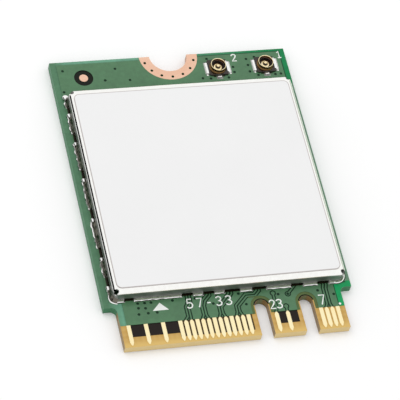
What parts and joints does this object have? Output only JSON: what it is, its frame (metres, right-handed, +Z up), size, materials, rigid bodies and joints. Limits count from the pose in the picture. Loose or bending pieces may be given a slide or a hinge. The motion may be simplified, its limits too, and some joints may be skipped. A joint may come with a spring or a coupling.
{
  "type": "wireless network card",
  "caption": "Small keyed plug-in wireless card with edge contacts, half-round screw notch, soldered shield can with blank label and two coaxial antenna receptacles.",
  "frame": {"origin": "under the middle of the board, on the surface that the card lies on", "axes": "+X across the card to the right, +Y from the contact edge to the screw notch, +Z up through the shield can"},
  "size_m": [0.022, 0.03, 0.0021],
  "materials": {
    "laminate": "glass-epoxy laminate, satin, cut edges dull",
    "solder_mask": "green solder mask, satin",
    "bare_copper": "bare copper, satin pink",
    "gold_plating": "gold over nickel, satin",
    "solder": "reflowed solder, bright",
    "tinned_sheet": "tin-plated sheet, bright satin",
    "label_film": "blank white film, matt",
    "gold_shell": "gold-plated spring bronze, bright",
    "dark_polymer": "dark brown moulded polymer",
    "mould_compound": "black mould compound, matt",
    "silicone_pad": "soft silicone pad",
    "white_ceramic": "fired ceramic",
    "crystal_case": "ceramic tray with metal lid",
    "ferrite": "sintered ferrite",
    "tan_ceramic": "tan ceramic with tinned ends",
    "resistor_coat": "alumina with dark glaze"
  },
  "bodies": {
    "root": {"circuit_board": "laminate", "solder_mask_top": "solder_mask", "solder_mask_bottom": "solder_mask", "bare_screw_land": "bare_copper", "fiducial_dot": "bare_copper", "top_contacts_left": "gold_plating", "top_contacts_middle": "gold_plating", "top_contacts_right": "gold_plating", "bottom_contacts_left": "gold_plating", "bottom_contacts_middle": "gold_plating", "bottom_contacts_right": "gold_plating", "test_pads": "gold_plating", "can_lands": "solder", "shield_can": "tinned_sheet", "can_solder": "solder", "label": "label_film", "antenna_1_shell": "gold_shell", "antenna_1_insulator": "dark_polymer", "antenna_1_pin": "gold_shell", "antenna_1_solder": "solder", "antenna_2_shell": "gold_shell", "antenna_2_insulator": "dark_polymer", "antenna_2_pin": "gold_shell", "antenna_2_solder": "solder", "radio_chip": "mould_compound", "thermal_pad": "silicone_pad", "front_end_module_1": "mould_compound", "front_end_module_2": "mould_compound", "antenna_filters": "white_ceramic", "crystal": "crystal_case", "flash_chip": "mould_compound", "power_inductors": "ferrite", "capacitors": "tan_ceramic", "resistors": "resistor_coat", "part_solder": "solder"}
  },
  "joints": []
}
